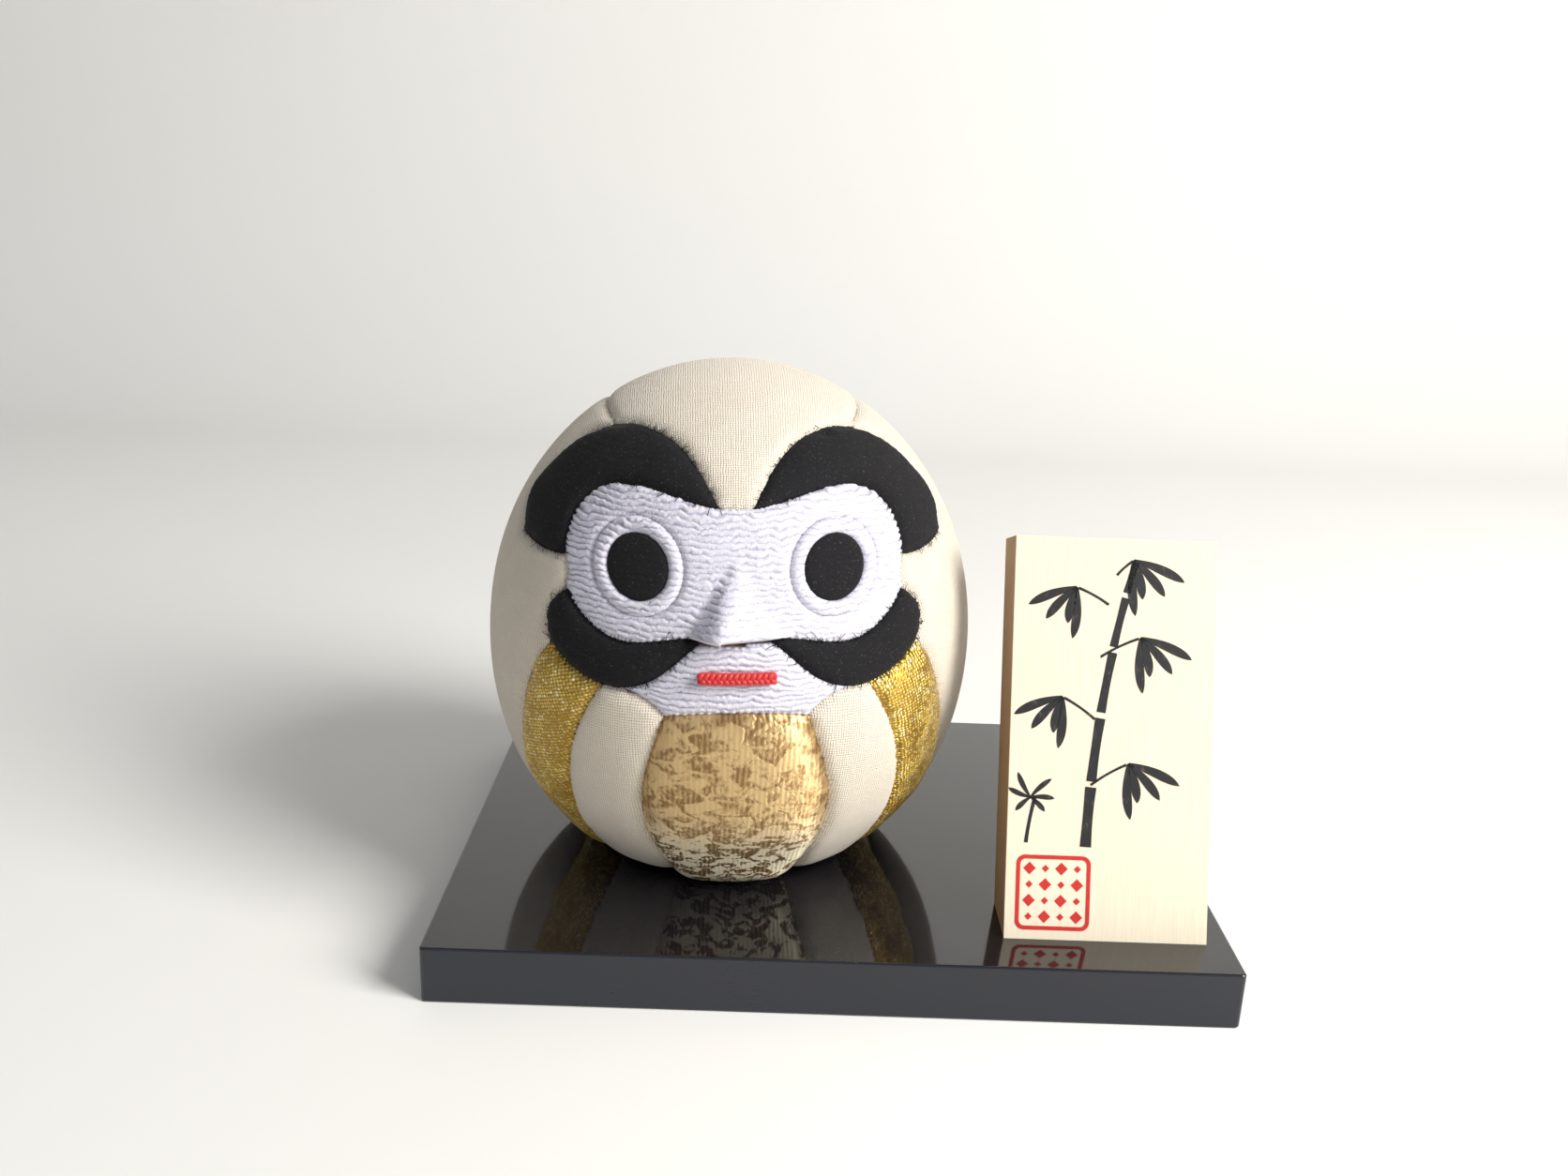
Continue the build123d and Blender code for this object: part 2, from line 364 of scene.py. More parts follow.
def lay_out(patch, core_tree):
    """Fill a patch's chart with even triangles and lift them back onto the CAD surface."""
    points, triangles = outer_sheet(patch.node, core_tree)
    tree = surface_tree(points, triangles)
    loops = border_loops(triangles)
    if patch.centre is None:
        chart = StripChart()
    else:
        chart = PolarChart(points[np.unique(triangles)], patch.centre)
    pairs = [resampled(chart.flat(points[loop]), points[loop], patch.spacing) for loop in loops]
    outlines = [flat for flat, _ in pairs]
    seam = np.concatenate([places for _, places in pairs])
    seam_tree = tree_of(np.concatenate(outlines))
    flat, faces = even_triangles(outlines, patch.spacing)
    origin = Vector(chart.centre)
    lifted = []
    for place, ray in zip(flat, chart.rays(flat)):
        _, nearest, gap = seam_tree.find((place[0], place[1], 0))
        hit = None
        if gap > patch.spacing / 10:
            hit = tree.ray_cast(origin, Vector(ray))[0]
        lifted.append(seam[nearest] if hit is None else hit)
    patch.flat = flat
    patch.points = np.array(lifted, float)
    normals = face_normals(patch.points, faces)
    inward = (normals * (patch.points[faces].mean(1) - chart.centre)).sum(1) < 0
    faces[inward] = faces[inward][:, ::-1]
    patch.faces = faces
    patch.normals = smooth_normals(patch.points, faces)
    patch.border = np.concatenate([points[loop] for loop in loops])


def spread(values, faces):
    """Each vertex's value averaged with its neighbours'."""
    pairs = np.concatenate([faces[:, [0, 1]], faces[:, [1, 2]], faces[:, [2, 0]]])
    pairs = np.concatenate([pairs, pairs[:, ::-1]])
    total = np.zeros_like(values)
    np.add.at(total, pairs[:, 0], values[pairs[:, 1]])
    count = np.bincount(pairs[:, 0], minlength=len(values))[:, None]
    return 0.5 * values + 0.5 * total / np.maximum(count, 1)


def smooth_normals(points, faces):
    normals = np.zeros_like(points)
    each = face_normals(points, faces)
    for k in range(3):
        np.add.at(normals, faces[:, k], each)
    normals = unit(normals)
    for _ in range(NORMAL_ROUNDS):
        normals = unit(spread(normals, faces))
    return normals


def relaxed(patch, rounds):
    """The sheet with its folds eased, as cloth bridges a hollow; its border stays."""
    points = patch.points
    border = np.zeros(len(points), bool)
    border[border_vertices(patch.faces)] = True
    for _ in range(rounds):
        points = np.where(border[:, None], points, spread(points, patch.faces))
    return points


def border_vertices(faces):
    return np.unique(np.concatenate([np.array(loop) for loop in border_loops(faces)]))


def closed_mesh(patch):
    """A closed pad: the outer sheet, a rim round it and a hidden back over the core."""
    count = len(patch.points)
    back = patch.points - BACK_DEPTH * patch.normals
    faces = patch.faces.tolist() + (patch.faces[:, ::-1] + count).tolist()
    for loop in border_loops(patch.faces):
        for a, b in zip(loop, loop[1:] + loop[:1]):
            faces.append([b, a, a + count, b + count])
    mesh = bpy.data.meshes.new(patch.node + "_cloth")
    mesh.from_pydata(np.concatenate([patch.points, back]).tolist(), [], faces)
    put_values(mesh, "cloth", np.tile(np.column_stack([patch.flat, np.zeros(count)]), (2, 1)))
    put_values(mesh, "lift", np.tile(patch.normals, (2, 1)))
    put_values(mesh, "front", np.repeat([1.0, 0.0], count))
    crease_borders(mesh, count, border_vertices(patch.faces))
    return mesh


def put_values(mesh, name, values):
    kind, field = ("FLOAT", "value") if np.ndim(values) == 1 else ("FLOAT_VECTOR", "vector")
    attribute = mesh.attributes.new(name, kind, "POINT")
    attribute.data.foreach_set(field, np.asarray(values, np.float32).ravel())


def read(data, field, width=3):
    out = np.empty(len(data) * width, np.float32)
    data.foreach_get(field, out)
    return out.reshape(-1, width).astype(float)


def places_of(mesh):
    return read(mesh.vertices, "co")


def set_places(mesh, points):
    mesh.vertices.foreach_set("co", np.asarray(points, np.float32).ravel())
    mesh.update()


def crease_borders(mesh, count, border):
    """Keeps the seam line and the back's edge where they are when the pad is subdivided."""
    on_border = np.zeros(2 * count, bool)
    on_border[border] = True
    on_border[border + count] = True
    ends = np.empty(len(mesh.edges) * 2, int)
    mesh.edges.foreach_get("vertices", ends)
    ends = ends.reshape(-1, 2)
    loops = on_border[ends].all(1) & ((ends < count).all(1) | (ends >= count).all(1))
    crease = mesh.attributes.new("crease_edge", "FLOAT", "EDGE")
    crease.data.foreach_set("value", loops.astype(np.float32))


def link(obj):
    bpy.context.scene.collection.objects.link(obj)
    return obj


def mesh_from(bm, name):
    mesh = bpy.data.meshes.new(name)
    bm.to_mesh(mesh)
    bm.free()
    return mesh


def new_object(name, mesh, material, smooth=True):
    mesh.polygons.foreach_set("use_smooth", [smooth] * len(mesh.polygons))
    mesh.materials.append(material)
    return link(bpy.data.objects.new(name, mesh))


def start_cloth(patch):
    """A cloth copy of the pad, with everything but the inside of its outer sheet pinned."""
    mesh = patch.mesh.copy()
    set_places(mesh, places_of(mesh) * MM * SIM_SCALE)
    obj = link(bpy.data.objects.new(patch.node + "_sim", mesh))
    count = len(patch.points)
    pins = np.concatenate([border_vertices(patch.faces), np.arange(count, 2 * count)])
    obj.vertex_groups.new(name="pins").add(pins.tolist(), 1.0, "REPLACE")
    cloth = obj.modifiers.new("Cloth", "CLOTH")
    settings = cloth.settings
    settings.vertex_group_mass = "pins"
    settings.use_pressure = True
    settings.uniform_pressure_force = SIM_PRESSURE
    settings.effector_weights.gravity = 0
    settings.quality = SIM_QUALITY
    cloth.collision_settings.use_collision = False
    cloth.point_cache.frame_start = 1
    cloth.point_cache.frame_end = SIM_FRAMES
    return obj


def inflate(patches):
    """Run every pad's cloth at once, and keep how far the outside of each one rose."""
    scene = bpy.context.scene
    sims = [start_cloth(patch) for patch in patches]
    for step in range(1, SIM_FRAMES + 1):
        scene.frame_set(step)
    graph = bpy.context.evaluated_depsgraph_get()
    for patch, sim in zip(patches, sims):
        after = places_of(sim.evaluated_get(graph).data) / (MM * SIM_SCALE)
        patch.rise = after - places_of(patch.mesh)
        sheet = patch.rise[:len(patch.points)]
        for _ in range(RISE_ROUNDS):
            sheet = spread(sheet, patch.faces)
        sheet[border_vertices(patch.faces)] = 0
        patch.rise[:len(sheet)] = sheet
        bpy.data.objects.remove(sim)
    scene.frame_set(1)


def capped(rise, most):
    """The simulated rise, scaled so that its high part reaches the most that the pad may swell."""
    reach = np.linalg.norm(rise, axis=1)
    high = np.percentile(reach[reach > 0], HIGH_PART) if (reach > 0).any() else 1.0
    rise = rise * (most / high)
    reach = reach * (most / high)
    return rise * np.minimum(1, most * RISE_SPARE / np.maximum(reach, 1e-9))[:, None]


def subdivided(mesh):
    obj = link(bpy.data.objects.new("subdivide", mesh))
    modifier = obj.modifiers.new("Subdivision", "SUBSURF")
    modifier.levels = 1
    graph = bpy.context.evaluated_depsgraph_get()
    fine = bpy.data.meshes.new_from_object(obj.evaluated_get(graph), depsgraph=graph)
    fine.name = mesh.name
    bpy.data.objects.remove(obj)
    return fine


def tucked(distance, shoulder, tuck):
    """How far the cloth drops below its pad, this far from a seam: a quarter round."""
    share = np.clip(1 - distance / shoulder, 0, 1)
    return -tuck * (1 - np.sqrt(1 - share ** 2))


def shape_pad(patch):
    """Swell, subdivide and tuck the pad, and give its cloth the ridges of its weave."""
    mesh = patch.mesh
    set_places(mesh, places_of(mesh) + capped(patch.rise, patch.swell))
    mesh = subdivided(mesh)
    points = places_of(mesh)
    front = read(mesh.attributes["front"].data, "value", 1)[:, 0]
    lift = unit(read(mesh.attributes["lift"].data, "vector"))
    distance = nearest_distance(points, patch.border)
    height = tucked(distance, patch.shoulder, patch.tuck)
    height = np.where(front > 0.99, height, 0)
    height = np.where((front > 0.01) & (front < 0.99), -patch.tuck / 2, height)
    if patch.look.ridges:
        ridges = patch.look.ridges(points)
        # the ridge height is also kept for the white crepe's material, which paints shade into the
        # valleys
        put_values(mesh, "ridge", ridges * 0.5 + 0.5)
        fade = np.clip(distance / patch.shoulder, RIDGE_LEAST, 1)
        height = height + np.where(front > 0.99, ridges * patch.look.ridge_height * fade, 0)
    set_places(mesh, moved(points + lift * height[:, None], TO_WORLD))
    for name in ("lift", "front"):
        mesh.attributes.remove(mesh.attributes[name])
    patch.mesh = mesh


def padded_piece(patch):
    obj = new_object(patch.node + "_cloth", patch.mesh, patch.look.material)
    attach(obj, "doll")
    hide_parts(patch.node)


# ---- material helpers ----

class Paint:
    """A material on one Principled shader, with short calls that add nodes and link them."""

    def __init__(self, name, **constants):
        self.material = bpy.data.materials.new(name)
        self.material.use_nodes = True
        self.tree = self.material.node_tree
        self.shader = self.tree.nodes["Principled BSDF"]
        for socket, value in constants.items():
            self.shader.inputs[socket.replace("_", " ")].default_value = value

    def node(self, kind, inputs=(), **settings):
        made = self.tree.nodes.new("ShaderNode" + kind)
        for name, value in settings.items():
            setattr(made, name, value)
        for name, value in dict(inputs).items():
            self.feed(made.inputs[name], value)
        return made

    def feed(self, socket, value):
        if isinstance(value, bpy.types.NodeSocket):
            self.tree.links.new(value, socket)
        else:
            socket.default_value = value

    def drive(self, socket, value):
        self.feed(self.shader.inputs[socket], value)

    def math(self, operation, a, b=0.0, c=0.0):
        return self.node("Math", {0: a, 1: b, 2: c}, operation=operation).outputs[0]

    def scaled(self, value, factor, start=0.0):
        return self.math("MULTIPLY_ADD", value, factor, start)

    def vector(self, operation, a, b):
        """Two vectors combined, or with SCALE a vector and a number."""
        inputs = {0: a, "Scale" if operation == "SCALE" else 1: b}
        return self.node("VectorMath", inputs, operation=operation).outputs["Vector"]

    def mix(self, share, a, b):
        made = self.node("Mix", data_type="RGBA")
        for index, value in ((0, share), (6, a), (7, b)):
            self.feed(made.inputs[index], (*value, 1) if isinstance(value, tuple) else value)
        return made.outputs[2]

    def ramp(self, value, low, high):
        """0 below low, 1 above high, and smooth between."""
        made = self.node("MapRange", {"Value": value, "From Min": low, "From Max": high},
                         interpolation_type="SMOOTHSTEP")
        return made.outputs["Result"]

    def cloth(self, stretch=(1, 1, 1), turn=0.0):
        """The patch's own flat coordinates, in mm of cloth."""
        place = self.node("Attribute", attribute_name="cloth").outputs["Vector"]
        return self.node("Mapping", {"Vector": place, "Scale": stretch,
                                     "Rotation": (0, 0, turn)}).outputs["Vector"]

    def solid(self, stretch=(1, 1, 1)):
        """The place in the row frame, in mm."""
        place = self.node("TexCoord").outputs["Object"]
        return self.node("Mapping", {"Vector": place,
                                     "Scale": [s / MM for s in stretch]}).outputs["Vector"]

    def noise(self, vector, scale, detail=2.0, roughness=0.5, distortion=0.0):
        made = self.node("TexNoise", {"Vector": vector, "Scale": scale, "Detail": detail,
                                      "Roughness": roughness, "Distortion": distortion})
        return made.outputs["Fac"]

    def split(self, vector):
        return tuple(self.node("SeparateXYZ", {"Vector": vector}).outputs)

    def thread_shine(self, share):
        """Level metal threads: their highlight stretches upright across them."""
        facing = self.node("NewGeometry").outputs["Normal"]
        self.drive("Tangent", self.vector("CROSS_PRODUCT", (0, 0, 1), facing))
        self.drive("Anisotropic", share)
        self.drive("Anisotropic Rotation", 0.25)

    def bump(self, height, depth_mm):
        made = self.node("Bump", {"Height": height, "Distance": depth_mm * MM, "Strength": 1.0})
        return made.outputs["Normal"]

    def dressed(self, colour, rough=None, relief=None, depth_mm=0.0):
        """The material, with its colour and, where given, its roughness and bumps driven."""
        self.drive("Base Color", colour)
        if rough is not None:
            self.drive("Roughness", rough)
        if relief is not None:
            self.drive("Normal", self.bump(relief, depth_mm))
        return self.material


def plain_weave(paint, pitch, turn=0.0):
    """Height of a plain weave, 0 between the threads to 1 on top of one, with uneven threads."""
    uneven = paint.noise(paint.cloth((0.9, 0.9, 1)), 1.0, 2.0)
    sway = paint.scaled(paint.math("SUBTRACT", uneven, 0.5), 0.9)
    x, y, _ = paint.split(paint.cloth((1 / pitch, 1 / pitch, 1), turn))
    x = paint.math("ADD", x, sway)
    y = paint.math("SUBTRACT", y, sway)
    return paint.math("MAXIMUM", thread(paint, x, y, 0.0), thread(paint, y, x, 1.0))


def thread(paint, across, along, start):
    """Round threads one unit apart that rise over every other crossing."""
    number = paint.math("FLOOR", across)
    offset = paint.math("SUBTRACT", paint.math("SUBTRACT", across, number), 0.5)
    round_top = paint.math("COSINE", paint.scaled(offset, 2.6))
    crossing = paint.math("ADD", paint.math("ADD", along, number), start)
    turn = paint.scaled(crossing, math.pi)
    over = paint.scaled(paint.math("SINE", turn), 0.5, 0.5)
    return paint.scaled(round_top, over)


class Look:
    """A kind of cloth: its material, record slot, stuffing and, where it has them, its ridges."""

    def __init__(self, material, slot, fill, ridges=None, ridge_height=0.0):
        self.material, self.slot, self.fill = material, slot, fill
        self.ridges, self.ridge_height = ridges, ridge_height


def crepe_ridges(pitch):
    """Wavy ridges that run across the face, break and join, as crepe cloth has: -1 to 1."""

    def ridges(points):
        out = np.empty(len(points))
        for k, (x, y, z) in enumerate(points):
            broad = noise.noise(Vector((x * 0.20, y * 0.20, z * 0.30)))
            wave = noise.noise(Vector((x * 0.62, y * 0.3, z * 0.45 + 9)))
            jog = noise.noise(Vector((x * 1.9, y * 0.6, z * 1.0 + 31)))
            phase = (z + 0.6 * broad + 0.34 * wave + 0.20 * jog) / pitch
            crest = math.cos(2 * math.pi * phase)
            strength = 0.80 + 0.45 * noise.noise(Vector((x * 0.7, y * 0.4, z * 1.1 + 4)))
            crest = 1 - 2 * ((1 - crest) / 2) ** 1.7
            out[k] = max(-1.0, min(1.0, strength * crest))
        return out

    return ridges


# ---- cloth materials ----

def cream_silk():
    """Ivory silk in a slubby plain weave, with painted shade in the gaps between its threads."""
    paint = Paint("silk_cream", Specular_IOR_Level=0.25, Sheen_Weight=0.35,
                  Sheen_Roughness=0.45, Sheen_Tint=(1.0, 0.97, 0.9, 1))
    weave = plain_weave(paint, 0.34)
    cloud = paint.noise(paint.cloth(), 0.18, 3.0)
    slub_x = paint.noise(paint.cloth((0.35, 3.2, 1)), 1.0, 2.0)
    slub_y = paint.noise(paint.cloth((3.2, 0.35, 1)), 1.0, 2.0)
    slubs = paint.ramp(paint.math("MAXIMUM", slub_x, slub_y), 0.56, 0.72)
    base = paint.mix(cloud, (0.71, 0.635, 0.525), (0.83, 0.765, 0.66))
    base = paint.mix(paint.scaled(slubs, 0.5), base, (0.86, 0.80, 0.69))
    flecks = paint.ramp(paint.noise(paint.cloth((1.3, 3.4, 1)), 1.5, 1.0), 0.70, 0.80)
    base = paint.mix(paint.scaled(flecks, 0.6), base, (0.42, 0.31, 0.20))
    # painted shade: the gaps between the threads are painted dark brown, and are a little rougher
    hollow = paint.ramp(weave, 0.1, 0.75)
    base = paint.mix(hollow, (0.36, 0.28, 0.19), base)
    relief = paint.scaled(slubs, 0.35, weave)
    material = paint.dressed(base, paint.scaled(hollow, -0.14, 0.9), relief, 0.11)
    return Look(material, "silk_cream", 0.8)


def white_crepe():
    """White crepe: real ridges in the mesh, and fine twisted threads on them; the valleys between
    the ridges get painted lilac shade.
    """
    paint = Paint("crepe_white", Specular_IOR_Level=0.35, Sheen_Weight=0.3,
                  Sheen_Roughness=0.35, Sheen_Tint=(0.96, 0.95, 1.0, 1))
    threads = paint.noise(paint.solid((1.3, 1.3, 7.0)), 1.0, 3.0, 0.6)
    cross = paint.noise(paint.solid((6.0, 6.0, 1.6)), 1.0, 2.0, 0.6)
    cloud = paint.noise(paint.solid(), 0.25, 3.0)
    base = paint.mix(cloud, (0.61, 0.595, 0.665), (0.73, 0.72, 0.775))
    grain = paint.scaled(threads, 0.45, paint.scaled(cross, 0.55))
    ridge = paint.node("Attribute", attribute_name="ridge").outputs["Fac"]
    # painted shade: the valleys between the crepe's ridges are painted dark lilac
    painted_valley_shade = paint.ramp(ridge, 0.50, 0.08)
    tone = paint.mix(paint.ramp(grain, 0.35, 0.6), (0.62, 0.60, 0.70), base)
    tone = paint.mix(paint.scaled(painted_valley_shade, 0.75), tone, (0.33, 0.30, 0.43))
    material = paint.dressed(tone, paint.scaled(grain, 0.35, 0.35), grain, 0.16)
    return Look(material, "crepe_white", 0.5, crepe_ridges(0.86), 0.18)


def black_crepe():
    """Matte black crepe with a fine grain, and a few threads with a painted highlight: lighter
    flecks that are also a little less rough.
    """
    paint = Paint("crepe_black", Specular_IOR_Level=0.18, Sheen_Weight=0.03,
                  Sheen_Roughness=0.4, Sheen_Tint=(0.9, 0.85, 0.8, 1))
    grain = paint.noise(paint.solid((2.2, 2.2, 6.5)), 1.0, 3.0, 0.65)
    fine = plain_weave(paint, 0.26, 0.6)
    # painted highlight: a few flecks of thread are painted light grey-brown as if catching the
    # light, and are made less rough
    painted_glint = paint.ramp(paint.noise(paint.solid((3.6, 3.6, 6.0)), 1.0, 1.0), 0.66, 0.78)
    base = paint.mix(grain, (0.004, 0.004, 0.005), (0.018, 0.017, 0.019))
    base = paint.mix(paint.scaled(painted_glint, 0.5), base, (0.16, 0.15, 0.13))
    relief = paint.scaled(fine, 0.35, grain)
    material = paint.dressed(base, paint.scaled(painted_glint, -0.35, 0.9), relief, 0.10)
    return Look(material, "crepe_black", 0.75, crepe_ridges(0.9), 0.035)


def gold_lame():
    """Knitted metal thread: slanting rows of small stitches, each tilted its own way, with painted
    shade between the stitches and painted sparkles on a few of them.
    """
    paint = Paint("lame_gold", Metallic=0.78)
    sway = paint.noise(paint.cloth(), 0.25, 1.0)
    rows = paint.vector("ADD", paint.cloth((1.9, 2.2, 1), 0.32), sway)
    stitches = paint.node("TexVoronoi", {"Vector": rows, "Scale": 1.0, "Randomness": 0.28})
    bead = paint.ramp(stitches.outputs["Distance"], 0.70, 0.22)
    own = stitches.outputs["Color"]
    spark, tone_shift, _ = paint.split(own)
    tone = paint.mix(tone_shift, (0.86, 0.58, 0.10), (1.0, 0.80, 0.27))
    # painted shade: the gaps between the stitches are painted dark brown-gold
    tone = paint.mix(bead, (0.42, 0.25, 0.04), tone)
    # painted highlight: a few stitches are painted pale yellow as sparkles, and are made less
    # rough
    painted_sparkle = paint.scaled(paint.ramp(spark, 0.74, 0.90), bead)
    tone = paint.mix(painted_sparkle, tone, (1.0, 0.90, 0.55))
    paint.thread_shine(0.85)
    tilt = paint.vector("SCALE", paint.vector("SUBTRACT", own, (0.5, 0.5, 0.5)), 0.24)
    facing = paint.vector("ADD", paint.bump(bead, 0.16), tilt)
    paint.drive("Normal", paint.vector("NORMALIZE", facing, (0, 0, 0)))
    return Look(paint.dressed(tone, paint.scaled(painted_sparkle, -0.16, 0.46)), "lame_gold", 0.8)


def gold_brocade():
    """Brocade: leafy patches of gold satin floating on a ribbed brown ground. Towards the bottom
    the gold is painted paler, as bounce light from the board, and the ground darker.
    """
    paint = Paint("brocade_gold")
    place = paint.cloth()
    x, y, _ = paint.split(place)
    # low is 1 towards the bottom of the belly: there the pattern turns sharper and ribbed, and the
    # gold carries painted bounce light
    low = paint.ramp(y, 7.0, -7.0)
    ragged = paint.noise(paint.cloth((1.0, 0.7, 1)), 2.2, 2.0, 0.6)
    leaf = paint.noise(paint.cloth((0.85, 1.2, 1)), 0.38, 2.0, 0.55, 1.2)
    cover = paint.scaled(paint.math("SUBTRACT", ragged, 0.5), 0.32, leaf)
    satin = paint.mix(low, paint.ramp(cover, 0.36, 0.58), paint.ramp(cover, 0.48, 0.52))
    sway = paint.scaled(paint.noise(place, 0.5, 1.0), 0.25)
    rib = paint.math("SINE", paint.scaled(paint.math("ADD", x, sway), 2 * math.pi / 0.72))
    rib = paint.scaled(rib, 0.5, 0.5)
    dash = paint.ramp(paint.noise(paint.cloth((1.6, 0.8, 1)), 1.0, 1.0), 0.36, 0.54)
    deep = paint.mix(low, (0.34, 0.20, 0.08), (0.13, 0.075, 0.035))
    raised = paint.mix(low, (0.58, 0.39, 0.18), (0.46, 0.31, 0.16))
    ground = paint.mix(paint.scaled(rib, dash), deep, raised)
    # painted light: towards the bottom the gold patches are painted paler, standing in for light
    # bounced up from the board below
    gold = paint.mix(low, (0.78, 0.56, 0.28), (1.0, 0.90, 0.66))
    paint.drive("Metallic", paint.scaled(low, -0.35, 0.75))
    paint.thread_shine(0.88)
    material = paint.dressed(paint.mix(satin, ground, gold), paint.scaled(satin, -0.06, 0.56),
                             paint.scaled(rib, 0.4, satin), 0.06)
    return Look(material, "brocade_gold", 0.9)


# ---- hard materials ----

def black_lacquer():
    """Glossy black lacquer, with the least waviness, dust and fine wiping marks."""
    paint = Paint("lacquer_black", Specular_IOR_Level=0.45, Coat_Roughness=0.03)
    place = paint.solid()
    dust = paint.ramp(paint.noise(place, 1.6, 2.0, 0.6), 0.72, 0.78)
    haze = paint.noise(place, 0.05, 3.0)
    wipes = paint.noise(paint.solid((0.3, 4.0, 4.0)), 1.0, 2.0)
    upright = paint.split(paint.node("NewGeometry").outputs["Normal"])[2]
    side = paint.ramp(upright, 0.9, 0.4)
    base = paint.mix(dust, (0.006, 0.006, 0.008), (0.05, 0.05, 0.055))
    base = paint.mix(side, base, (0.014, 0.016, 0.023))
    rough = paint.scaled(haze, 0.05, 0.045)
    rough = paint.scaled(wipes, 0.03, rough)
    rough = paint.scaled(dust, 0.25, rough)
    paint.drive("Coat Weight", paint.scaled(side, -0.5, 0.6))
    wave = paint.noise(place, 0.09, 2.0)
    return paint.dressed(base, paint.scaled(side, 0.2, rough), wave, 0.03)


def plaque_wood():
    """Brown fibre board, its edges lightly stained and its layers just showing."""
    paint = Paint("plaque_board", Specular_IOR_Level=0.3)
    fibres = paint.noise(paint.solid((3.0, 3.0, 0.5)), 1.0, 4.0, 0.65)
    cloud = paint.noise(paint.solid(), 0.12, 2.0)
    base = paint.mix(fibres, (0.28, 0.17, 0.09), (0.50, 0.34, 0.20))
    base = paint.mix(paint.scaled(cloud, 0.6), base, (0.40, 0.26, 0.15))
    return paint.dressed(base, paint.scaled(fibres, 0.2, 0.62), fibres, 0.12)


def plaque_paper():
    """Pale cream sheet with the faint upright grain of thin wood."""
    paint = Paint("plaque_sheet", Specular_IOR_Level=0.35)
    grain = paint.noise(paint.solid((2.2, 0.4, 0.12)), 1.0, 3.0, 0.6)
    speck = paint.ramp(paint.noise(paint.solid(), 2.4, 2.0), 0.66, 0.76)
    base = paint.mix(grain, (0.70, 0.61, 0.46), (0.80, 0.72, 0.57))
    base = paint.mix(paint.scaled(speck, 0.25), base, (0.66, 0.55, 0.40))
    return paint.dressed(base, paint.scaled(grain, 0.15, 0.52), grain, 0.03)


def core_wood():
    """The moulded sawdust paste under the cloth."""
    paint = Paint("core_wood", Roughness=0.9, Specular_IOR_Level=0.2)
    grain = paint.noise(paint.solid(), 1.1, 5.0, 0.7)
    base = paint.mix(grain, (0.30, 0.20, 0.11), (0.52, 0.38, 0.24))
    return paint.dressed(base, relief=grain, depth_mm=0.2)


def foot_paper():
    """Brown paper pasted over the foot."""
    paint = Paint("foot_paper", Roughness=0.85, Specular_IOR_Level=0.25)
    fibres = paint.noise(paint.solid((0.8, 2.4, 1.0)), 1.0, 4.0, 0.7)
    base = paint.mix(fibres, (0.42, 0.30, 0.18), (0.58, 0.45, 0.30))
    return paint.dressed(base, relief=fibres, depth_mm=0.05)


def red_cord():
    """Glossy red silk: each strand is made of fine lengthwise filaments."""
    paint = Paint("cord_red", Specular_IOR_Level=0.5, Sheen_Weight=0.2,
                  Sheen_Tint=(1.0, 0.5, 0.45, 1))
    filaments = paint.noise(paint.cloth((0.6, 9.0, 1)), 1.0, 2.0)
    base = paint.mix(filaments, (0.42, 0.008, 0.010), (0.74, 0.03, 0.03))
    return paint.dressed(base, paint.scaled(filaments, 0.25, 0.3), filaments, 0.04)


def ink():
    """Black brush ink, thinner and browner where the brush ran dry."""
    paint = Paint("ink_black", Specular_IOR_Level=0.4)
    dry = paint.noise(paint.solid((1.2, 1.2, 0.5)), 1.0, 3.0, 0.6)
    base = paint.mix(paint.ramp(dry, 0.55, 0.8), (0.012, 0.011, 0.012), (0.07, 0.06, 0.055))
    return paint.dressed(base, paint.scaled(dry, 0.3, 0.4))


def seal_red():
    """Red seal paste, a little uneven."""
    paint = Paint("seal_red", Roughness=0.6, Specular_IOR_Level=0.35)
    blot = paint.noise(paint.solid(), 1.3, 3.0, 0.6)
    return paint.dressed(paint.mix(blot, (0.40, 0.012, 0.012), (0.66, 0.035, 0.025)))


# ---- small pieces ----

def new_piece(name, bm, material, body, smooth=True):
    obj = new_object(name, mesh_from(bm, name), material, smooth)
    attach(obj, body)
    return obj


def skin(bm, rings):
    """Join rings of vertices into a closed tube."""
    count = len(rings[0])
    for low, high in zip(rings, rings[1:]):
        for k in range(count):
            bm.faces.new((low[k], low[(k + 1) % count], high[(k + 1) % count], high[k]))
    bm.faces.new(rings[0][::-1])
    bm.faces.new(rings[-1])


def tube(bm, path, radii, sides):
    """A closed tube through the points, with rounded ends where the radii close."""
    cloth = bm.verts.layers.float_vector.get("cloth") or bm.verts.layers.float_vector.new("cloth")
    path = [Vector(p) for p in path]
    guide = Vector((0.13, 0.27, 0.95))
    rings, run = [], 0.0
    for k, point in enumerate(path):
        ahead = path[min(k + 1, len(path) - 1)] - path[max(k - 1, 0)]
        side = ahead.cross(guide).normalized()
        up = side.cross(ahead).normalized()
        run += (point - path[k - 1]).length if k else 0.0
        ring = []
        for s in range(sides):
            turn = 2 * math.pi * s / sides
            vert = bm.verts.new(point + radii[k] * (math.cos(turn) * side + math.sin(turn) * up))
            vert[cloth] = (run, turn, 0)
            ring.append(vert)
        rings.append(ring)
    skin(bm, rings)


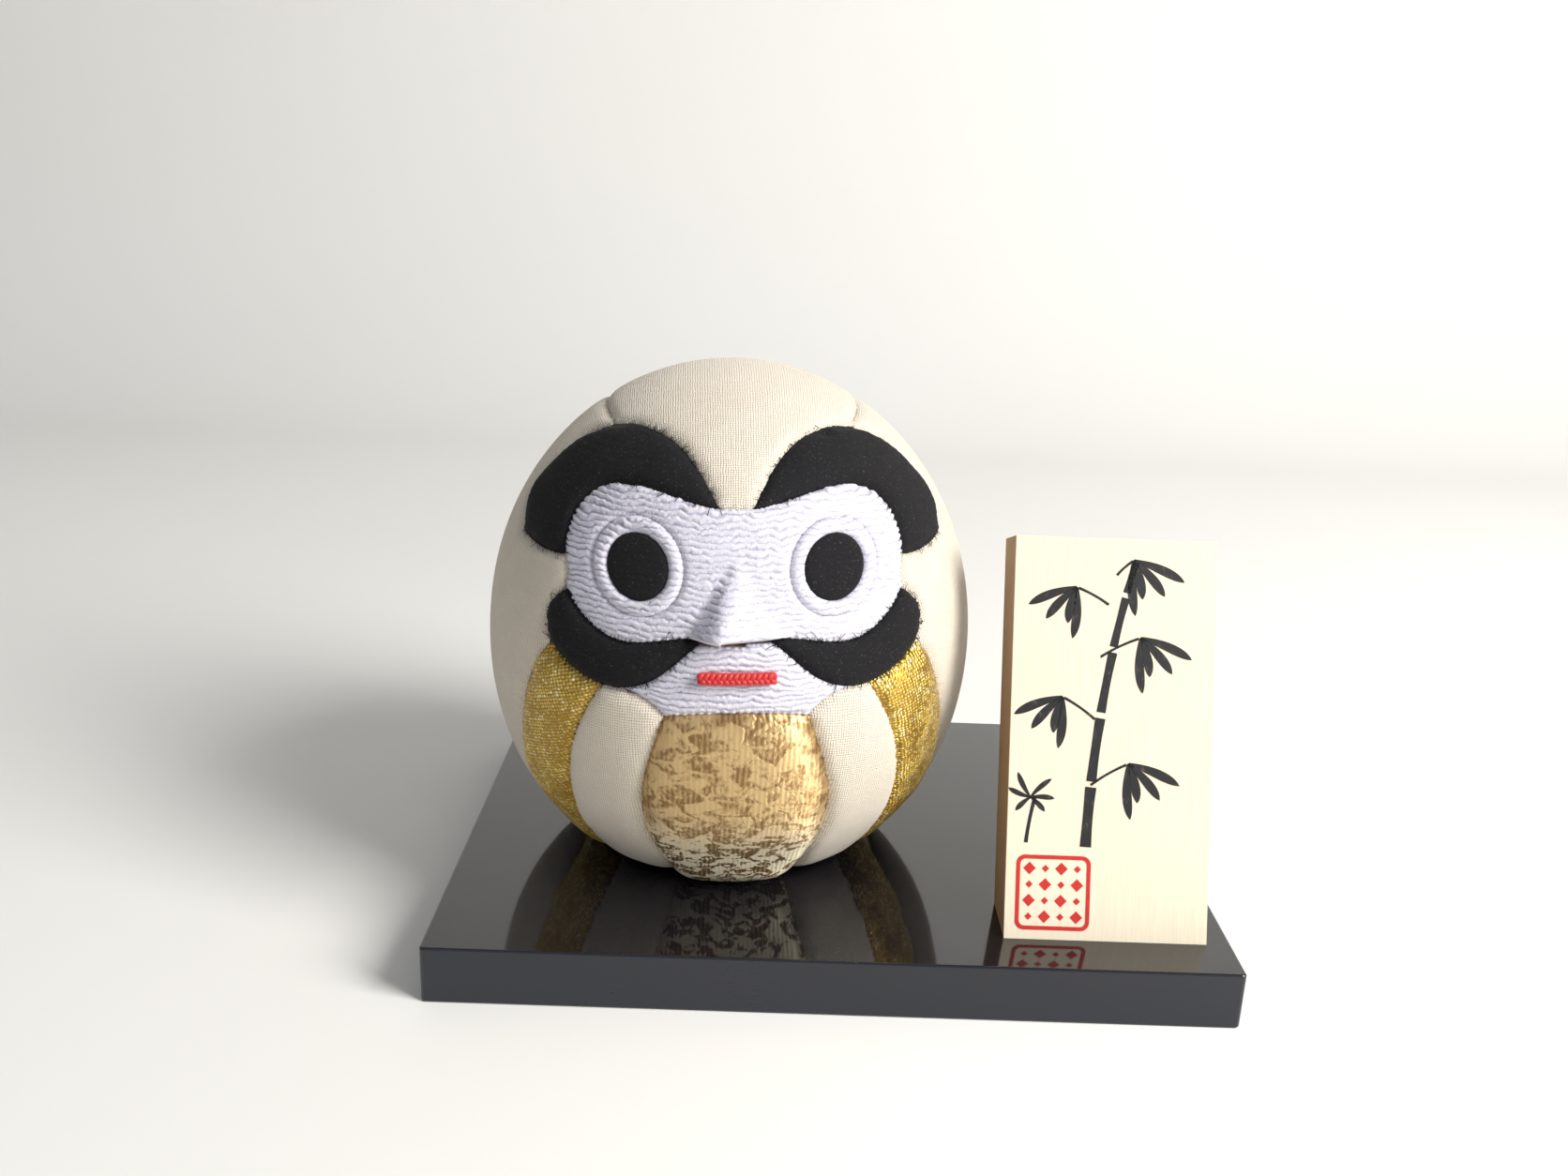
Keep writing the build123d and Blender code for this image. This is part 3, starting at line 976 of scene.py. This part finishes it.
def mouth_braid(material):
    """Three silk strands plaited into the short flat cord of the mouth."""
    height = moved(np.array(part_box("mouth_cord")), TO_DOLL)[:, 2].mean()
    bm = bmesh.new()
    for k in range(3):
        path, radii = [], []
        for step in range(STRAND_STEPS + 1):
            share = step / STRAND_STEPS
            turn = 2 * math.pi * (PLAITS * share + k / 3)
            angle = (share - 0.5) * CORD_LENGTH / CORD_BEND
            out = CORD_BEND + STRAND_WEAVE * math.sin(2 * turn)
            lift = height + STRAND_SWING * math.sin(turn)
            path.append((out * math.sin(angle), -out * math.cos(angle), lift))
            closing = min(1.0, min(share, 1 - share) * 30 + 0.06)
            radii.append(STRAND_RADIUS * math.sqrt(1 - (1 - closing) ** 2))
        tube(bm, path, radii, STRAND_SIDES)
    bm.transform(doll_matrix() @ Matrix.Rotation(FACE_TILT, 4, "Y"))
    obj = new_piece("mouth_braid", bm, material, "doll")
    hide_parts("mouth_cord")


def fray(patch):
    """Cut threads that escape from the edge of a black patch and lie on its neighbours."""
    random = np.random.default_rng(len(patch.points))
    border = border_vertices(patch.faces)
    inner = np.setdiff1d(np.arange(len(patch.points)), border)
    bm = bmesh.new()
    for pick in random.choice(border, FRAY_COUNT):
        start = patch.points[pick]
        gaps = np.linalg.norm(patch.points[inner] - start, axis=1)
        near = patch.points[inner[np.argsort(gaps)[:6]]].mean(0)
        normal = patch.normals[pick]
        away = unit(start - near + 0.25 * random.normal(size=3))
        bend = unit(np.cross(normal, away)) * random.normal() * 0.5
        length = FRAY_LONGEST * (0.25 + 0.75 * random.random() ** 2)
        base = start - 0.35 * away - 0.45 * normal
        path = []
        for share in (0, 0.25, 0.5, 0.75, 1):
            rise = 0.55 * math.sin(math.pi * min(1, 0.25 + 0.6 * share))
            path.append(base + length * (share * away + share ** 2 * bend) + rise * normal)
        tube(bm, path, FRAY_RADII, FRAY_SIDES)
    bm.transform(doll_matrix())
    new_piece(patch.node + "_fray", bm, patch.look.material, "doll")


# ---- plaque painting ----

class PlaqueFace:
    """The plaque's leaning front, with places on it given in mm from its middle foot."""

    def __init__(self):
        points = np.array([v.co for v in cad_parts["plaque_face"].data.vertices])
        foot = points[points[:, 2] < FACE_LOW.z + 0.1 * MM]
        front = foot[:, 1].min()
        top = points[points[:, 2].argmax()]
        self.origin = Vector(((FACE_LOW.x + FACE_HIGH.x) / 2, front, FACE_LOW.z))
        self.up = Vector((0, top[1] - front, top[2] - FACE_LOW.z)).normalized()
        self.out = Vector((0, -self.up.z, self.up.y))

    def at(self, x, height, proud):
        return (self.origin + Vector((x * MM, 0, 0)) + self.up * height * MM
                + self.out * proud * MM)


def slab(bm, plane, left, right):
    """A thin closed strip of ink between two lines of places on the plaque."""
    rows = []
    for (x0, h0), (x1, h1) in zip(left, right):
        rows.append([bm.verts.new(plane.at(x, h, proud)) for x, h, proud in (
            (x0, h0, INK_ROOT), (x1, h1, INK_ROOT), (x1, h1, INK_PROUD), (x0, h0, INK_PROUD))])
    skin(bm, rows)


def brush_stroke(bm, plane, start, heading, length, width, bend=0.0, blunt=False):
    """One stroke: it swells from a pressed start, and a leaf's runs out to a point."""
    left, right = [], []
    x, height = start
    for step in range(STROKE_STEPS + 1):
        share = step / STROKE_STEPS
        turn = math.radians(heading + bend * share)
        if blunt:
            from_middle = abs(2 * share - 1)
            press = 1 + 0.16 * from_middle ** 2 - 0.35 * max(0, from_middle - 0.9)
        else:
            press = (0.22 + 1.2 * share) * (1 - share ** 3) ** 0.8 * 1.25
        press = max(0.5 * width * press, STROKE_LEAST)
        normal = (-math.sin(turn), math.cos(turn))
        left.append((x + press * normal[0], height + press * normal[1]))
        right.append((x - press * normal[0], height - press * normal[1]))
        x += length / STROKE_STEPS * math.cos(turn)
        height += length / STROKE_STEPS * math.sin(turn)
    slab(bm, plane, left, right)
    return x, height


def leaf_spray(bm, plane, start, headings, length, width):
    """Narrow leaves that hang from one point, as a brush leaves them."""
    for index, heading in enumerate(headings):
        reach = length * (1 - 0.14 * (index % 3))
        brush_stroke(bm, plane, start, heading, reach, width, -20 if heading > -90 else 20)


def ink_bamboo(plane, material):
    """A stalk of bamboo with hanging leaves in brush ink, where the plaque has its greeting."""
    bm = bmesh.new()
    joint, heading, width = STALK_FOOT, 88, STALK_WIDTH
    for length in STALK_JOINTS:
        end = brush_stroke(bm, plane, joint, heading, length, width, -3, blunt=True)
        joint = (end[0], end[1] + STALK_GAP)
        heading -= 3
        width *= 0.9
    for start, heading, length in TWIGS:
        rightward = heading < 90
        tip = brush_stroke(bm, plane, start, heading, length, TWIG_WIDTH,
                           -14 if rightward else 14, blunt=True)
        if rightward:
            leaf_spray(bm, plane, tip, RIGHT_LEAVES, 8.4, 1.45)
        else:
            leaf_spray(bm, plane, tip, LEFT_LEAVES, 7.8, 1.4)
    brush_stroke(bm, plane, (-12.4, 14.4), 84, 7.0, 0.5, -8, blunt=True)
    leaf_spray(bm, plane, (-11.9, 21.2), SHOOT_LEAVES, 4.2, 0.8)
    new_piece("plaque_ink", bm, material, "plaque", smooth=False)


def rounded_square(centre, half, corner, steps=6):
    """Points round a square with round corners."""
    points = []
    for quarter in range(4):
        middle = math.pi / 4 + quarter * math.pi / 2
        x = centre[0] + math.copysign(half - corner, math.cos(middle))
        y = centre[1] + math.copysign(half - corner, math.sin(middle))
        for step in range(steps + 1):
            turn = quarter * math.pi / 2 + math.pi / 2 * step / steps
            points.append((x + corner * math.cos(turn), y + corner * math.sin(turn)))
    return points


def red_seal(plane, material):
    """A square seal: a rounded frame round a plain lattice of diamonds."""
    bm = bmesh.new()
    outside = rounded_square(SEAL_MIDDLE, SEAL_HALF, 1.3)
    within = rounded_square(SEAL_MIDDLE, SEAL_HALF - SEAL_BORDER, 0.8)
    slab(bm, plane, outside + outside[:1], within + within[:1])
    half_count = (SEAL_DIAMONDS - 1) / 2
    for column in range(SEAL_DIAMONDS):
        for row in range(SEAL_DIAMONDS):
            x = SEAL_MIDDLE[0] + (column - half_count) * SEAL_STEP
            y = SEAL_MIDDLE[1] + (row - half_count) * SEAL_STEP
            reach = 0.95 if (column + row) % 2 else 0.55
            slab(bm, plane, [(x - reach, y), (x, y + reach), (x + reach, y)],
                 [(x - reach + 0.02, y - 0.01), (x, y - reach), (x + reach - 0.02, y - 0.01)])
    bmesh.ops.remove_doubles(bm, verts=bm.verts, dist=1e-7)
    new_piece("plaque_seal", bm, material, "plaque", smooth=False)


# ---- the build ----

def main():
    core_tree = surface_tree(*triangles_of("core"))
    looks = {"silk": cream_silk(), "white": white_crepe(), "black": black_crepe(),
             "lame": gold_lame(), "brocade": gold_brocade()}
    rows = list(MIDDLE_PATCHES)
    for side in ("left", "right"):
        rows += [(row[0] + side, *row[1:]) for row in PAIRED_PATCHES]
    patches = [Patch(node, looks[look], *facts) for node, look, *facts in rows]
    for patch in patches:
        lay_out(patch, core_tree)
        if patch.node == "mask_panel":
            patch.points = relaxed(patch, MASK_ROUNDS)
            patch.normals = smooth_normals(patch.points, patch.faces)
        patch.mesh = closed_mesh(patch)
    inflate(patches)
    for patch in patches:
        shape_pad(patch)
        padded_piece(patch)
        if patch.node.startswith(FRAYED):
            fray(patch)
    mouth_braid(red_cord())
    plane = PlaqueFace()
    ink_bamboo(plane, ink())
    red_seal(plane, seal_red())
    for node, make in (("display_board", black_lacquer), ("plaque_block", plaque_wood),
                       ("plaque_prop", plaque_wood), ("plaque_face", plaque_paper),
                       ("core", core_wood), ("foot_cover", foot_paper)):
        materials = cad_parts[node].data.materials
        materials.clear()
        materials.append(make())


def set_camera():
    yaw, pitch, roll = CAMERA_YAW, CAMERA_PITCH, CAMERA_ROLL
    forward = Vector((math.sin(yaw) * math.cos(pitch), math.cos(yaw) * math.cos(pitch),
                      -math.sin(pitch)))
    level = Vector((math.cos(yaw), -math.sin(yaw), 0))
    above = level.cross(forward)
    right = math.cos(roll) * level + math.sin(roll) * above
    up = -math.sin(roll) * level + math.cos(roll) * above
    data = bpy.data.cameras.new("camera")
    data.lens = CAMERA_LENS
    data.sensor_width = 36
    data.clip_start = 0.01
    data.clip_end = 20
    camera = link(bpy.data.objects.new("camera", data))
    turn = Matrix((right, up, -forward)).transposed().to_4x4()
    camera.matrix_world = Matrix.Translation(CAMERA_PLACE) @ turn
    bpy.context.scene.camera = camera


def area_light(name, place, size, power, colour):
    data = bpy.data.lights.new(name, "AREA")
    data.shape = "RECTANGLE"
    data.size, data.size_y = size
    data.energy = power
    data.color = colour
    lamp = link(bpy.data.objects.new(name, data))
    lamp.location = place
    lamp.rotation_euler = (LAMP_AIM - Vector(place)).to_track_quat("-Z", "Y").to_euler()


def set_room():
    """A soft surround that is brighter towards the window."""
    world = bpy.data.worlds.new("room")
    bpy.context.scene.world = world
    world.use_nodes = True
    room = world.node_tree
    place = room.nodes.new("ShaderNodeTexCoord")
    toward = room.nodes.new("ShaderNodeVectorMath")
    toward.operation = "DOT_PRODUCT"
    toward.inputs[1].default_value = BRIGHT_SIDE
    room.links.new(place.outputs["Generated"], toward.inputs[0])
    glow = room.nodes.new("ShaderNodeMapRange")
    glow.inputs["From Min"].default_value = -0.6
    glow.inputs["To Min"].default_value = 0.11
    glow.inputs["To Max"].default_value = 0.44
    room.links.new(toward.outputs["Value"], glow.inputs["Value"])
    sky = room.nodes["Background"]
    sky.inputs["Color"].default_value = (0.92, 0.95, 1.0, 1)
    room.links.new(glow.outputs["Result"], sky.inputs["Strength"])


def set_stage():
    """A pale floor that sweeps up behind the object, and soft window light from the right."""
    bm = bmesh.new()
    run = [(-STAGE_HALF, 0), (STAGE_BACK, 0)]
    for step in range(1, BEND_STEPS + 1):
        turn = math.pi / 2 * step / BEND_STEPS
        run.append((STAGE_BACK + STAGE_BEND * math.sin(turn), STAGE_BEND * (1 - math.cos(turn))))
    run.append((STAGE_BACK + STAGE_BEND, STAGE_HEIGHT))
    rows = [[bm.verts.new((x, y, z)) for x in (-STAGE_HALF, STAGE_HALF)] for y, z in run]
    for low, high in zip(rows, rows[1:]):
        bm.faces.new((low[0], low[1], high[1], high[0]))
    paint = Paint("stage_pale", Roughness=0.8, Specular_IOR_Level=0.2)
    cloud = paint.noise(paint.solid(), 0.004, 2.0)
    material = paint.dressed(paint.mix(cloud, (0.78, 0.77, 0.74), (0.84, 0.83, 0.80)))
    new_object("stage", mesh_from(bm, "stage"), material)
    set_room()
    area_light("window", (0.50, -0.30, 0.42), (0.30, 0.40), 8.0, (1.0, 0.98, 0.95))
    area_light("fill", (-0.6, -0.5, 0.5), (0.8, 0.8), 0.5, (0.92, 0.95, 1.0))
    bpy.context.scene.view_settings.view_transform = "Standard"


set_camera()
set_stage()
main()
